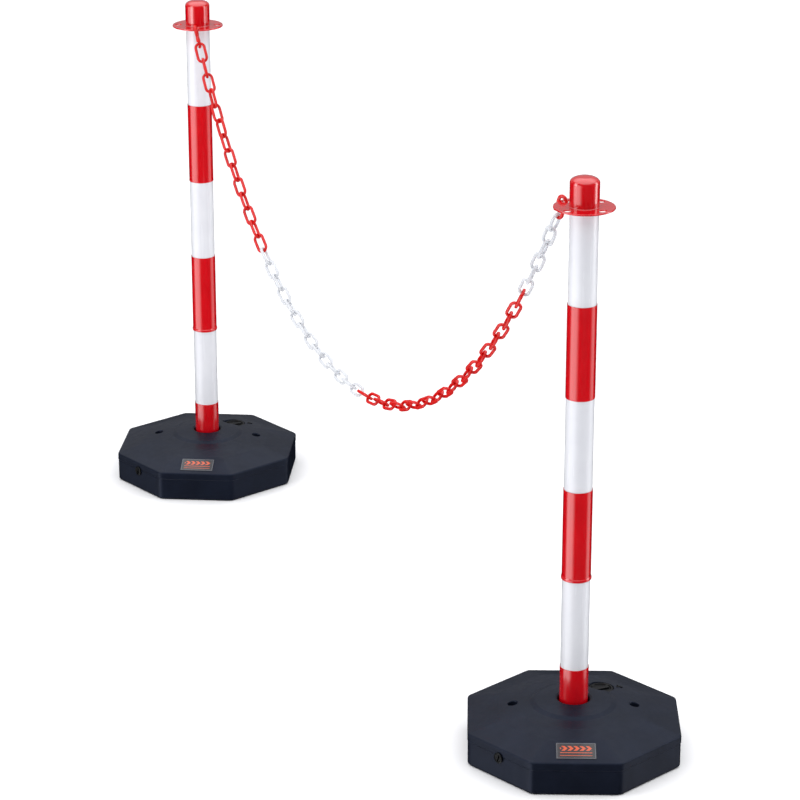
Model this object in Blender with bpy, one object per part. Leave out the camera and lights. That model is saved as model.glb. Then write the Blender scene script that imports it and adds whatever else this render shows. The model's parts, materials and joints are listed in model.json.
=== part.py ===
"""Plastic chain stanchion: two red and white posts on fillable octagonal bases, joined by a plastic chain.

The row frame: the chain hangs in a vertical plane along X, Z points up and the floor is Z = 0.
Post A stands at negative X and post B at positive X.
"""

import math

import bmesh
import bpy
from mathutils import Matrix, Vector

# Driving dimensions, in metres.
GAP = 0.0003
POST_SPACING = 1.200
BAND = 0.1306
LOWEST_BAND_TOP = 0.1245
ROUND = 24

# Pole: white tubes with thin red sleeves, an inner coupler and a moulded cap.
TUBE_RADIUS = 0.0192
TUBE_WALL = 0.0020
SLEEVE_RADIUS = 0.0200
LIP_RADIUS = 0.0209
COUPLER_WALL = 0.0017
COUPLER_HALF = 0.040
CAP_WALL = 0.0028
SPIGOT_LENGTH = 0.030
FLANGE_RADIUS = 0.0410
FLANGE_THICK = 0.0030
HOLE_RING = 0.0317
HOLE_RADIUS = 0.0044
CAP_SHOULDER = 0.0362
CAP_HEIGHT = 0.0428

# Base: an octagonal hollow tank with a socket for the pole.
BASE_FLAT = 0.1460
CORNER_ROUND = 0.0100
BASE_WALL = 0.0035
SOCKET_RADIUS = 0.0222
SOCKET_WALL = 0.0030
SOCKET_FLOOR = 0.0080
ANCHOR_OUT = 0.0840
ANCHOR_RADIUS = 0.0065
ANCHOR_WALL = 0.0030
FILL_AT = (0.0400, 0.0500)
FILL_RECESS_RADIUS = 0.0180
FILL_RECESS_FLOOR = 0.0605
FILL_HOLE_RADIUS = 0.0135
FILL_CAP_TOP = 0.0668
SEAL_THICK = 0.0012
DRAIN_HEIGHT = 0.0340
DRAIN_HOLE_RADIUS = 0.0050
LABEL_SIZE = (0.0540, 0.0300, 0.0008)

# Each level of the tank: height, distance from the middle, and how round its outline is (0 octagon, 1 circle).
TANK_LEVELS = (
    (0.0000, 0.1430, 0.0),
    (0.0030, BASE_FLAT, 0.0),
    (0.0440, BASE_FLAT, 0.0),
    (0.0480, 0.1435, 0.0),
    (0.0612, 0.1040, 0.4),
    (0.0660, 0.0840, 1.0),
    (0.0690, 0.0600, 1.0),
    (0.0725, 0.0520, 1.0),
    (0.0762, 0.0245, 1.0),
)

# Chain: equal oval links on a hanging curve between the two hooks.
LINKS = 56
LINK_PITCH = 0.02607
LINK_WIDTH = 0.0186
LINK_WIRE = 0.0022
LINK_OVERLAP = 0.00030
LINK_GAP = 0.00035
LINK_SIDES = 6
LINK_ROLL = math.radians(38)
TWISTED_LINKS = 7
RED_LINKS = (range(0, 14), range(28, 50))

# Hook: two joined oval rings, the upper one round the flange's rim and the lower one round the end link.
HOOK_WIRE = 0.0024
HOOK_HALF_WIDTH = 0.0064
HOOK_STRAIGHT = 0.0022
HOOK_LEAN = math.radians(62)
HOOK_HEADROOM = 0.0036
HOOK_HOLD_GAP = 0.0012

# How each base and each cap is turned about its post.
BASE_TURN = {"a": math.radians(56.7), "b": math.radians(59.9)}
HOOK_HOLE_ANGLE = {"a": math.radians(-29.4), "b": math.radians(195.6)}

# Colours are linear RGB.
RED = (0.60, 0.012, 0.018)
WHITE = (0.80, 0.80, 0.83)
BLACK = (0.012, 0.013, 0.018)
CHAIN_RED = (0.75, 0.022, 0.015)
RUBBER = (0.010, 0.010, 0.010)
LABEL = (0.55, 0.09, 0.015)

# Heights worked out from the bands.
JOINT_Z = LOWEST_BAND_TOP + BAND
TUBE_TOP = LOWEST_BAND_TOP + 5 * BAND
FLANGE_Z = TUBE_TOP + GAP
RIM_MIDDLE = (HOLE_RING + HOOK_HALF_WIDTH, FLANGE_Z + FLANGE_THICK / 2)


def clear_scene():
    for thing in list(bpy.data.objects):
        bpy.data.objects.remove(thing, do_unlink=True)


def plastic(name, colour, roughness):
    """A Principled plastic of one colour."""
    material = bpy.data.materials.new(name)
    material.use_nodes = True
    shader = material.node_tree.nodes["Principled BSDF"]
    shader.inputs["Base Color"].default_value = (*colour, 1.0)
    shader.inputs["Roughness"].default_value = roughness
    shader.inputs["Metallic"].default_value = 0.0
    return material


def mesh_object(name, points, faces, smooth=True):
    """A named mesh object from points and faces, with its normals turned outward."""
    mesh = bpy.data.meshes.new(name)
    mesh.from_pydata([tuple(p) for p in points], [], faces)
    shaper = bmesh.new()
    shaper.from_mesh(mesh)
    bmesh.ops.remove_doubles(shaper, verts=shaper.verts, dist=1e-7)
    bmesh.ops.recalc_face_normals(shaper, faces=shaper.faces)
    shaper.to_mesh(mesh)
    shaper.free()
    if smooth:
        mesh.shade_smooth()
        mesh.set_sharp_from_angle(angle=math.radians(40))
    thing = bpy.data.objects.new(name, mesh)
    bpy.context.scene.collection.objects.link(thing)
    return thing


def turned(name, profile, closed, sides=ROUND):
    """A solid of revolution about Z. A closed profile is a ring; an open one starts and ends on the axis."""
    count = len(profile)
    points = []
    for step in range(sides):
        angle = 2 * math.pi * (step + 0.5) / sides
        points += [(r * math.cos(angle), r * math.sin(angle), z) for r, z in profile]
    faces = []
    for step in range(sides):
        here = step * count
        there = (step + 1) % sides * count
        for k in range(count if closed else count - 1):
            after = (k + 1) % count
            corners = [here + k, there + k, there + after, here + after]
            if profile[k][0] == 0.0:
                corners.remove(there + k)
            if profile[after][0] == 0.0:
                corners.remove(there + after)
            faces.append(corners)
    return mesh_object(name, points, faces)


def rod(name, radius, bottom, top, sides=ROUND):
    """A plain round bar along Z."""
    return turned(name, [(0.0, bottom), (radius, bottom), (radius, top), (0.0, top)], False, sides)


def combine(thing, others, operation):
    """Cuts the others from a solid, or joins them to it, and keeps one plain mesh."""
    for other in others:
        step = thing.modifiers.new(operation.lower(), "BOOLEAN")
        step.operation = operation
        step.object = other
        step.solver = "EXACT"
    seen = bpy.context.evaluated_depsgraph_get()
    mesh = bpy.data.meshes.new_from_object(thing.evaluated_get(seen))
    mesh.name = thing.name
    thing.modifiers.clear()
    thing.data = mesh
    for other in others:
        bpy.data.objects.remove(other, do_unlink=True)
    return thing


def move_mesh(thing, matrix):
    """Moves a solid's points and leaves its origin where it is."""
    thing.data.transform(matrix)
    return thing


def tube(name, outer, inner, bottom, top):
    return turned(name, [(inner, bottom), (outer, bottom), (outer, top), (inner, top)], True)


# ---------------------------------------------------------------- base


def tank_outline(distance, roundness):
    """24 points round the tank: an octagon with rounded corners, blended towards a circle."""
    corner_out = (distance - CORNER_ROUND) / math.cos(math.pi / 8)
    points = []
    for corner in range(8):
        middle = math.pi / 8 + corner * math.pi / 4
        for side in (-1, 0, 1):
            arc = middle + side * math.pi / 8
            flat = Vector((math.cos(middle), math.sin(middle))) * corner_out
            flat += Vector((math.cos(arc), math.sin(arc))) * CORNER_ROUND
            ring = middle + side * math.pi / 12
            circle = Vector((math.cos(ring), math.sin(ring))) * distance
            points.append(flat.lerp(circle, roundness))
    return points


def lofted(name, levels):
    """A closed solid through a stack of outlines."""
    points = []
    for z, distance, roundness in levels:
        points += [(p.x, p.y, z) for p in tank_outline(distance, roundness)]
    around = 24
    faces = [list(range(around))[::-1]]
    for level in range(len(levels) - 1):
        for k in range(around):
            after = (k + 1) % around
            low = level * around
            high = low + around
            faces.append([low + k, low + after, high + after, high + k])
    faces.append([(len(levels) - 1) * around + k for k in range(around)])
    return mesh_object(name, points, faces)


def standing_rod(name, place, radius, bottom, top, sides=ROUND):
    return move_mesh(rod(name, radius, bottom, top, sides), Matrix.Translation((place[0], place[1], 0)))


def anchor_places():
    return [(-ANCHOR_OUT, 0.0), (ANCHOR_OUT, 0.0)]


def tank_cavity():
    """The tank's inner space, with the socket, the anchor sleeves and the fill cup left standing in it."""
    inside = []
    for z, distance, roundness in TANK_LEVELS[2:]:
        inside.append((z - BASE_WALL, distance - BASE_WALL, roundness))
    floor = (BASE_WALL, BASE_FLAT - BASE_WALL, 0.0)
    cavity = lofted("tank_cavity", [floor] + inside)
    above = TANK_LEVELS[-1][0] + 0.01
    kept = [rod("socket_wall", SOCKET_RADIUS + SOCKET_WALL, -0.01, above)]
    for place in anchor_places():
        kept.append(standing_rod("anchor_wall", place, ANCHOR_RADIUS + ANCHOR_WALL, -0.01, above, 12))
    cup_floor = FILL_RECESS_FLOOR - SOCKET_WALL
    kept.append(standing_rod("fill_cup", FILL_AT, FILL_RECESS_RADIUS + SOCKET_WALL, cup_floor, above))
    return combine(cavity, kept, "DIFFERENCE")


def drain_axis():
    """A point on the drain's face and the way out of it, in the base's own frame."""
    way = Vector((math.cos(-0.75 * math.pi), math.sin(-0.75 * math.pi), 0.0))
    return way * BASE_FLAT + Vector((0.0, 0.0, DRAIN_HEIGHT)), way


def along_drain(thing):
    """Turns a solid made along Z so that it lies along the drain, with its origin on the wall."""
    place, way = drain_axis()
    turn = Vector((0.0, 0.0, 1.0)).rotation_difference(way).to_matrix().to_4x4()
    return move_mesh(thing, Matrix.Translation(place) @ turn)


def base_shell(name):
    shell = lofted(name, TANK_LEVELS)
    above = TANK_LEVELS[-1][0] + 0.02
    cuts = [tank_cavity(), rod("socket_bore", SOCKET_RADIUS, SOCKET_FLOOR, above)]
    for place in anchor_places():
        cuts.append(standing_rod("anchor_bore", place, ANCHOR_RADIUS, -0.02, above, 12))
    cuts.append(standing_rod("fill_recess", FILL_AT, FILL_RECESS_RADIUS, FILL_RECESS_FLOOR, above))
    cuts.append(standing_rod("fill_hole", FILL_AT, FILL_HOLE_RADIUS, FILL_RECESS_FLOOR - 0.01, above))
    cuts.append(along_drain(rod("drain_bore", DRAIN_HOLE_RADIUS, -2.5 * BASE_WALL, 0.01, 12)))
    return combine(shell, cuts, "DIFFERENCE")


def fill_cap(name):
    """A screw cap: a disc in the recess, a grip bar on it and a hollow spigot in the hole."""
    disc = FILL_RECESS_RADIUS - 0.0006
    spigot = FILL_HOLE_RADIUS - 0.0006
    under = FILL_RECESS_FLOOR + SEAL_THICK + 2 * GAP
    foot = FILL_RECESS_FLOOR - 0.009
    profile = [
        (0.0, under + 0.0008),
        (spigot - 0.002, under + 0.0008),
        (spigot - 0.002, foot),
        (spigot, foot),
        (spigot, under),
        (disc, under),
        (disc, FILL_CAP_TOP - 0.0008),
        (disc - 0.0010, FILL_CAP_TOP),
        (disc - 0.0030, FILL_CAP_TOP),
        (disc - 0.0040, FILL_CAP_TOP - 0.0022),
        (0.0, FILL_CAP_TOP - 0.0022),
    ]
    cap = turned(name, profile, False)
    bar = bpy.data.objects.new("grip_bar", box_mesh("grip_bar", (0.0250, 0.0050, 0.0030)))
    bpy.context.scene.collection.objects.link(bar)
    move_mesh(bar, Matrix.Translation((0.0, 0.0, FILL_CAP_TOP - 0.0018)))
    combine(cap, [bar], "UNION")
    return move_mesh(cap, Matrix.Translation((*FILL_AT, 0.0)))


def box_mesh(name, size):
    """A box centred on its own origin."""
    shaper = bmesh.new()
    bmesh.ops.create_cube(shaper, size=1.0, matrix=Matrix.Diagonal((*size, 1.0)))
    mesh = bpy.data.meshes.new(name)
    shaper.to_mesh(mesh)
    shaper.free()
    return mesh


def fill_cap_seal(name):
    """The flat rubber ring under the fill cap."""
    bottom = FILL_RECESS_FLOOR + GAP
    ring = tube(name, FILL_RECESS_RADIUS - 0.0012, FILL_HOLE_RADIUS + 0.0002, bottom, bottom + SEAL_THICK)
    return move_mesh(ring, Matrix.Translation((*FILL_AT, 0.0)))


def drain_plug(name):
    """A push-in plug with a grooved head, across the tank's wall."""
    shank = DRAIN_HOLE_RADIUS - GAP
    profile = [
        (0.0, -0.0080),
        (shank - 0.0010, -0.0080),
        (shank, -0.0070),
        (shank, GAP),
        (0.0075, GAP),
        (0.0075, 0.0020),
        (0.0066, 0.0028),
        (0.0034, 0.0028),
        (0.0030, 0.0044),
        (0.0, 0.0044),
    ]
    return along_drain(turned(name, profile, False, 12))


def label_plane():
    """Middle and outward direction of the tank's sloping front panel, where the label lies."""
    low_z, low_out, _ = TANK_LEVELS[3]
    high_z, high_out, roundness = TANK_LEVELS[4]
    flat_out = high_out * (1 - roundness) + high_out * math.cos(math.pi / 24) * roundness
    slope = Vector((0.0, low_out - flat_out, high_z - low_z)).normalized()
    start = Vector((0.0, -low_out, low_z))
    return start + slope * (0.0065 + LABEL_SIZE[1] / 2), slope


def label_plate(name):
    """The thin label on the front panel."""
    middle, slope = label_plane()
    across = Vector((1.0, 0.0, 0.0))
    out = across.cross(slope)
    plate = bpy.data.objects.new(name, box_mesh(name, LABEL_SIZE))
    bpy.context.scene.collection.objects.link(plate)
    turn = Matrix((across, slope, out)).transposed().to_4x4()
    middle = middle + out * (LABEL_SIZE[2] / 2 + GAP)
    return move_mesh(plate, Matrix.Translation(middle) @ turn)


# ---------------------------------------------------------------- pole


def lower_tube(name):
    return tube(name, TUBE_RADIUS, TUBE_RADIUS - TUBE_WALL, SOCKET_FLOOR + GAP, JOINT_Z - GAP / 2)


def upper_tube(name):
    return tube(name, TUBE_RADIUS, TUBE_RADIUS - TUBE_WALL, JOINT_Z + GAP / 2, TUBE_TOP)


def tube_coupler(name):
    outer = TUBE_RADIUS - TUBE_WALL - GAP
    return tube(name, outer, outer - COUPLER_WALL, JOINT_Z - COUPLER_HALF, JOINT_Z + COUPLER_HALF)


def sleeve(name, bottom, top):
    return tube(name, SLEEVE_RADIUS, TUBE_RADIUS + GAP, bottom, top)


def middle_sleeve(name):
    """The red sleeve whose lower rim is a rolled lip, where the upper tube meets the lower one."""
    inner = TUBE_RADIUS + GAP
    bottom = JOINT_Z + GAP / 2
    profile = [
        (inner, bottom),
        (LIP_RADIUS - 0.0004, bottom),
        (LIP_RADIUS, bottom + 0.0006),
        (LIP_RADIUS, bottom + 0.0030),
        (SLEEVE_RADIUS, bottom + 0.0048),
        (SLEEVE_RADIUS, JOINT_Z + BAND),
        (inner, JOINT_Z + BAND),
    ]
    return turned(name, profile, True)


def top_cap(name):
    """The moulded cap: a hollow spigot in the tube, a flange with four holes and a domed cylinder."""
    spigot = TUBE_RADIUS - TUBE_WALL - GAP
    bore = spigot - 0.0020
    z = FLANGE_Z
    profile = [
        (bore, z - SPIGOT_LENGTH),
        (spigot - 0.0006, z - SPIGOT_LENGTH),
        (spigot, z - SPIGOT_LENGTH + 0.0015),
        (spigot, z),
        (FLANGE_RADIUS - 0.0005, z),
        (FLANGE_RADIUS, z + 0.0006),
        (FLANGE_RADIUS, z + FLANGE_THICK - 0.0006),
        (FLANGE_RADIUS - 0.0005, z + FLANGE_THICK),
        (SLEEVE_RADIUS + 0.0010, z + FLANGE_THICK),
        (SLEEVE_RADIUS, z + FLANGE_THICK + 0.0010),
        (SLEEVE_RADIUS, z + CAP_SHOULDER),
        (SLEEVE_RADIUS * 0.93, z + CAP_SHOULDER + 0.0032),
        (SLEEVE_RADIUS * 0.78, z + CAP_SHOULDER + 0.0048),
        (SLEEVE_RADIUS * 0.42, z + CAP_HEIGHT - 0.0004),
        (0.0, z + CAP_HEIGHT),
        (0.0, z + CAP_HEIGHT - CAP_WALL),
        (SLEEVE_RADIUS * 0.70, z + CAP_SHOULDER + 0.0020),
        (SLEEVE_RADIUS - CAP_WALL, z + CAP_SHOULDER - 0.0030),
        (SLEEVE_RADIUS - CAP_WALL, z + FLANGE_THICK + 0.0030),
        (bore, z + FLANGE_THICK),
    ]
    cap = turned(name, profile, True)
    holes = []
    for quarter in range(4):
        angle = quarter * math.pi / 2
        place = (HOLE_RING * math.cos(angle), HOLE_RING * math.sin(angle))
        holes.append(standing_rod("flange_hole", place, HOLE_RADIUS, z - 0.01, z + 0.01, 12))
    return combine(cap, holes, "DIFFERENCE")


# ---------------------------------------------------------------- hooks and chain


def swept(name, path, normals, radius, axis, closed, sides=LINK_SIDES):
    """A round bar along a flat path. Each section opens along its own in-plane normal and the path's axis."""
    points = []
    for place, normal in zip(path, normals):
        for k in range(sides):
            angle = 2 * math.pi * k / sides
            points.append(place + normal * (radius * math.cos(angle)) + axis * (radius * math.sin(angle)))
    count = len(path)
    faces = []
    for step in range(count if closed else count - 1):
        here = step * sides
        there = (step + 1) % count * sides
        for k in range(sides):
            after = (k + 1) % sides
            faces.append([here + k, here + after, there + after, there + k])
    if not closed:
        faces.append(list(range(sides)))
        faces.append([(count - 1) * sides + k for k in range(sides)])
    return mesh_object(name, points, faces)


def oval(half_length, radius, arc_steps):
    """Points and outward normals of an oval in XY, long along X: two half circles and two straight sides."""
    path = []
    normals = []
    for end in (1, -1):
        for step in range(arc_steps + 1):
            angle = math.pi * (step / arc_steps - 0.5)
            normal = Vector((math.cos(angle) * end, math.sin(angle) * end, 0.0))
            path.append(Vector((half_length * end, 0.0, 0.0)) + normal * radius)
            normals.append(normal)
    return path, normals


def chain_link(name, frame):
    """One oval link in the given frame: X along the link, Y across it."""
    bend = LINK_WIDTH / 2 - LINK_WIRE
    inner_length = LINK_PITCH + (LINK_GAP - LINK_OVERLAP) / 2
    half_straight = inner_length / 2 + LINK_WIRE - bend
    path, normals = oval(half_straight, bend, 4)
    link = swept(name, path, normals, LINK_WIRE, Vector((0.0, 0.0, 1.0)), True)
    return move_mesh(link, frame)


def post_offset():
    """How far the posts stand off the X axis, so that both hooks hang in one plane along X."""
    a = RIM_MIDDLE[0] * math.sin(HOOK_HOLE_ANGLE["a"])
    b = RIM_MIDDLE[0] * math.sin(HOOK_HOLE_ANGLE["b"])
    return (b - a) / 2


def post_place(side):
    sign = -1 if side == "a" else 1
    return Vector((sign * POST_SPACING / 2, -sign * post_offset(), 0.0))


def rim_point(side):
    """Where the hook holds the flange: the middle of the rim beside its hole."""
    angle = HOOK_HOLE_ANGLE[side]
    out, height = RIM_MIDDLE
    return post_place(side) + Vector((out * math.cos(angle), out * math.sin(angle), height))


def hook_frame(side):
    """The hook's frame: X points down along it towards the chain and Y lies across its rings."""
    sign = 1 if side == "a" else -1
    down = Vector((sign * math.cos(HOOK_LEAN), 0.0, -math.sin(HOOK_LEAN)))
    angle = HOOK_HOLE_ANGLE[side]
    radial = Vector((math.cos(angle), math.sin(angle), 0.0))
    across = (radial - down * radial.dot(down)).normalized()
    normal = down.cross(across)
    frame = Matrix((down, across, normal)).transposed().to_4x4()
    frame.translation = rim_point(side)
    return frame


def hook_ring_reach():
    """From a ring's middle to the middle of its wire, along the hook."""
    return HOOK_HALF_WIDTH + HOOK_STRAIGHT


def hook_middles():
    """The middles of the upper and the lower ring along the hook, from the rim's middle."""
    upper = hook_ring_reach() - HOOK_WIRE - HOOK_HEADROOM
    return upper, upper + 2 * hook_ring_reach()


def hook_hold(side):
    """Where the end link bears on the hook's lower ring."""
    down = hook_frame(side).col[0].to_3d()
    bearing = hook_middles()[1] + hook_ring_reach() - HOOK_WIRE - HOOK_HOLD_GAP / 2
    return rim_point(side) + down * bearing


def s_hook(name, side):
    """Two oval rings joined end to end, the upper one round the rim and the lower one round the link."""
    path, normals = oval(HOOK_STRAIGHT, HOOK_HALF_WIDTH, 6)
    rings = []
    for middle in hook_middles():
        ring = swept(name, path, normals, HOOK_WIRE, Vector((0.0, 0.0, 1.0)), True)
        rings.append(move_mesh(ring, Matrix.Translation((middle, 0.0, 0.0))))
    hook = combine(rings[0], rings[1:], "UNION")
    hook.name = name
    return move_mesh(hook, hook_frame(side))


def hanging_curve(start, end, length, count):
    """Points at equal steps along the curve that a chain of this length takes between two level points."""
    span = end.x - start.x
    low, high = 0.01, 10.0
    for _ in range(80):
        ratio = (low + high) / 2
        if math.sinh(ratio) / ratio < length / span:
            low = ratio
        else:
            high = ratio
    scale = span / (2 * ratio)
    points = []
    for step in range(count + 1):
        along = length * (step / count - 0.5)
        x = scale * math.asinh(along / scale)
        drop = scale * (math.cosh(span / 2 / scale) - math.cosh(x / scale))
        points.append(Vector(((start.x + end.x) / 2 + x, start.y, start.z - drop)))
    return points


def roll_of(across, along):
    """The turn about the link's length that brings Y to this sideways direction, within half a turn."""
    side = Vector((0.0, 1.0, 0.0))
    turn = math.atan2(across.dot(side.cross(along)), across.dot(side))
    return (turn + math.pi / 2) % math.pi - math.pi / 2


def link_roll(k, start, finish):
    """The roll of link k. The links alternate by a quarter turn and twist at the ends to suit the hooks."""
    from_start = min(k / TWISTED_LINKS, 1.0)
    from_finish = min((LINKS - 1 - k) / TWISTED_LINKS, 1.0)
    even = LINK_ROLL + (start - LINK_ROLL) * (1 - from_start) + (finish - LINK_ROLL) * (1 - from_finish)
    return even + (k % 2) * math.pi / 2


def link_frames():
    """The pivots between the links and each link's frame at rest."""
    pivots = hanging_curve(hook_hold("a"), hook_hold("b"), LINKS * LINK_PITCH, LINKS)
    ways = [(after - before).normalized() for before, after in zip(pivots, pivots[1:])]
    start = roll_of(hook_frame("a").col[2].to_3d(), ways[0])
    finish = roll_of(hook_frame("b").col[2].to_3d(), ways[-1]) + math.pi / 2
    apart = (LINK_OVERLAP + LINK_GAP) / 4
    frames = []
    for k, along in enumerate(ways):
        roll = link_roll(k, start, finish)
        side = Vector((0.0, 1.0, 0.0))
        across = side * math.cos(roll) + side.cross(along) * math.sin(roll)
        frame = Matrix((along, across, along.cross(across))).transposed().to_4x4()
        shift = apart if k % 2 else -apart
        frame.translation = (pivots[k] + pivots[k + 1]) / 2 + along * shift
        frames.append(frame)
    return pivots, frames


def chain_pair(name, first, second):
    """Two interlocked links as one solid."""
    return combine(chain_link(name, first), [chain_link("second_link", second)], "UNION")


# ---------------------------------------------------------------- assembly


def parent_to(thing, holder):
    thing.parent = holder
    thing.matrix_parent_inverse = Matrix.Identity(4)


def empty(name, place, turn=0.0):
    holder = bpy.data.objects.new(name, None)
    holder.location = place
    holder.rotation_euler = (0.0, 0.0, turn)
    bpy.context.scene.collection.objects.link(holder)
    return holder


def build_post(side, colours):
    """All pieces of one post: those of the base turn with the base, and the cap turns with its hook hole."""
    place = post_place(side)
    base = empty("base_axis_" + side, place, BASE_TURN[side])
    pole = empty("pole_axis_" + side, place)
    head = empty("cap_axis_" + side, place, HOOK_HOLE_ANGLE[side])
    pieces = (
        (base_shell("base_shell_" + side), base, "tank"),
        (fill_cap("fill_cap_" + side), base, "tank"),
        (fill_cap_seal("fill_cap_seal_" + side), base, "rubber"),
        (drain_plug("drain_plug_" + side), base, "tank"),
        (label_plate("label_plate_" + side), base, "label"),
        (lower_tube("lower_tube_" + side), pole, "white"),
        (tube_coupler("tube_coupler_" + side), pole, "tank"),
        (sleeve("socket_sleeve_" + side, SOCKET_FLOOR + GAP, LOWEST_BAND_TOP), pole, "red"),
        (upper_tube("upper_tube_" + side), pole, "white"),
        (middle_sleeve("middle_sleeve_" + side), pole, "red"),
        (sleeve("top_sleeve_" + side, JOINT_Z + 2 * BAND, JOINT_Z + 3 * BAND), pole, "red"),
        (top_cap("top_cap_" + side), head, "red"),
    )
    for piece, holder, colour in pieces:
        parent_to(piece, holder)
        piece.data.materials.clear()
        piece.data.materials.append(colours[colour])
    hook = s_hook("s_hook_" + side, side)
    hook.data.materials.append(colours["chain_red"])


def build_chain(colours):
    """Pairs of links, each pair one node."""
    _, frames = link_frames()
    for pair in range(LINKS // 2):
        first = 2 * pair
        piece = chain_pair(f"chain_links_{pair:02d}", frames[first], frames[first + 1])
        red = any(first in stretch for stretch in RED_LINKS)
        piece.data.materials.clear()
        piece.data.materials.append(colours["chain_red" if red else "white"])


def main():
    clear_scene()
    colours = {
        "red": plastic("red_sleeve", RED, 0.22),
        "white": plastic("white_tube", WHITE, 0.30),
        "tank": plastic("black_tank", BLACK, 0.38),
        "chain_red": plastic("red_chain", CHAIN_RED, 0.30),
        "rubber": plastic("seal_rubber", RUBBER, 0.80),
        "label": plastic("label_film", LABEL, 0.40),
    }
    build_post("a", colours)
    build_post("b", colours)
    build_chain(colours)


main()
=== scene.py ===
"""Plastic chain stanchion: two banded posts on ballast tanks, joined by a moulded plastic chain.

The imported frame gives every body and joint. This script dresses it: each part of the stanchion is a class
that holds its sizes in metres and builds its own surfaces, and each finish is a small class of its own.
"""

import json
import logging
from dataclasses import dataclass, field
from enum import Enum
from typing import Sequence

import bmesh
import bpy
import numpy as np
import numpy.typing as npt
from mathutils import Matrix, Vector


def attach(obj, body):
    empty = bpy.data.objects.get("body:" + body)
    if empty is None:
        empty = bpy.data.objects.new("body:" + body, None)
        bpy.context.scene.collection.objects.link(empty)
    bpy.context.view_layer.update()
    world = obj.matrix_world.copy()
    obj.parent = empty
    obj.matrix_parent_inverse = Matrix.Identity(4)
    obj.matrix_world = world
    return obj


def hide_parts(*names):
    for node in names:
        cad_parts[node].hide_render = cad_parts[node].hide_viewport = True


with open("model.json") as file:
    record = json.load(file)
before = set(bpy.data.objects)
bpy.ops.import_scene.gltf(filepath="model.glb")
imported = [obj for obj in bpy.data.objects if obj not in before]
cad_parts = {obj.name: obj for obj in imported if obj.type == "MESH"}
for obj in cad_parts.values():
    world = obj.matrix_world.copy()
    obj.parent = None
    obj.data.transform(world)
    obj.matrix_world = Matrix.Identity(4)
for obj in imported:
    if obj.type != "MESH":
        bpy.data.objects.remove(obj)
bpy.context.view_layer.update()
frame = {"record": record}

LOG = logging.getLogger("chain_stanchion")
Array = npt.NDArray[np.float64]
Index = npt.NDArray[np.int64]
Corners = Sequence[Sequence[float]]
Piece = bpy.types.Object
Socket = bpy.types.NodeSocket
MERGE = 2e-7
UP = np.array([0.0, 0.0, 1.0])
SIDEWAYS = np.array([0.0, 1.0, 0.0])


class Side(Enum):
    """The two posts."""

    A = "a"
    B = "b"


class Slot(Enum):
    """The record's material slots."""

    RED = "red gloss sleeve"
    WHITE = "white gloss tube"
    TANK = "black tank"
    PLUG = "plug"
    SEAL = "seal"
    LABEL = "label"
    RED_CHAIN = "red chain"
    WHITE_CHAIN = "white chain"


# ---------------------------------------------------------------- surfaces


@dataclass
class Surface:
    """Points and four-sided faces, worked out as whole arrays."""

    points: Array
    quads: Index

    def moved(self, matrix: Array) -> "Surface":
        """Carries the points through a 4 by 4 matrix."""
        return Surface(self.points @ matrix[:3, :3].T + matrix[:3, 3], self.quads)


def grid_quads(rows: int, columns: int, rows_close: bool, columns_close: bool) -> Index:
    """Faces of a grid of points stored row by row.

    Args:
        rows: number of rows.
        columns: number of points in a row.
        rows_close: whether the last row meets the first.
        columns_close: whether each row's last point meets its first.

    Returns:
        One row of four point numbers for each face.
    """
    row = np.arange(rows if rows_close else rows - 1)[:, None]
    column = np.arange(columns if columns_close else columns - 1)[None, :]
    next_row = (row + 1) % rows
    next_column = (column + 1) % columns
    corners = np.broadcast_arrays(
        row * columns + column,
        next_row * columns + column,
        next_row * columns + next_column,
        row * columns + next_column,
    )
    return np.stack(corners, axis=-1).reshape(-1, 4)


def unit(vectors: Array) -> Array:
    """Scales each vector to length one."""
    return vectors / np.maximum(np.linalg.norm(vectors, axis=-1, keepdims=True), 1e-12)


def smooth_step(values: Array) -> Array:
    """Rises from 0 to 1 as 3t^2 - 2t^3 while t runs from 0 to 1."""
    t = np.clip(values, 0.0, 1.0)
    return t * t * (3.0 - 2.0 * t)


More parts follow.
